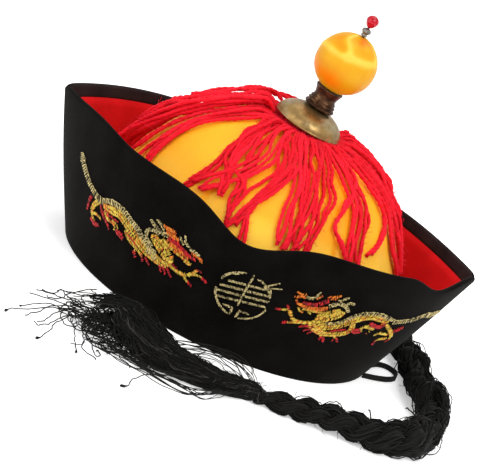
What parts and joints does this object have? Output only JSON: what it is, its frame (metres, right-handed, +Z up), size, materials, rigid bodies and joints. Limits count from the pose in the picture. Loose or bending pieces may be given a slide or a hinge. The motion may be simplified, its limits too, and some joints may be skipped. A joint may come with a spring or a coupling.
{
  "type": "chinese emperor hat",
  "caption": "Costume court hat with a satin dome, an upturned velvet band with embroidered dragons, a red yarn fringe, a ball finial and a yarn braid that ends in a tassel.",
  "frame": {"origin": "middle of the rim's flat bottom, on the surface that the hat stands on", "axes": "+Z up along the crown, -Y towards the front with the roundel, +X towards the right peak as seen from the front"},
  "size_m": [0.2704, 0.3223, 0.1845],
  "materials": {
    "velvet": "deep black velvet with a soft nap",
    "lining": "matte red woven cotton",
    "satin": "yellow gold satin with a soft sheen",
    "fringe_yarn": "bright red two-ply yarn",
    "embroidery": "gold, yellow, orange and red stitched thread",
    "gold_thread": "metallic gold thread",
    "ribbon": "black woven tape",
    "cup_brass": "antique brass with a dull patina",
    "neck_bronze": "dark brown bronze",
    "ball_silk": "silky yellow orange thread wound over a ball",
    "pin_metal": "grey metal",
    "bead_red": "glossy clear red",
    "braid_yarn": "black yarn with a slight sheen"
  },
  "bodies": {
    "root": {"brim_front": "velvet", "brim_back": "velvet", "brim_lining": "lining", "crown": "satin", "fringe": "fringe_yarn", "dragon_left": "embroidery", "dragon_right": "embroidery", "roundel": "gold_thread", "ribbon_loop": "ribbon", "finial_cup": "cup_brass", "finial_neck": "neck_bronze", "finial_ball": "ball_silk", "finial_pin": "pin_metal", "finial_spacer": "pin_metal", "finial_bead": "bead_red", "braid": "braid_yarn", "braid_tie": "braid_yarn", "tassel": "braid_yarn"}
  },
  "joints": []
}
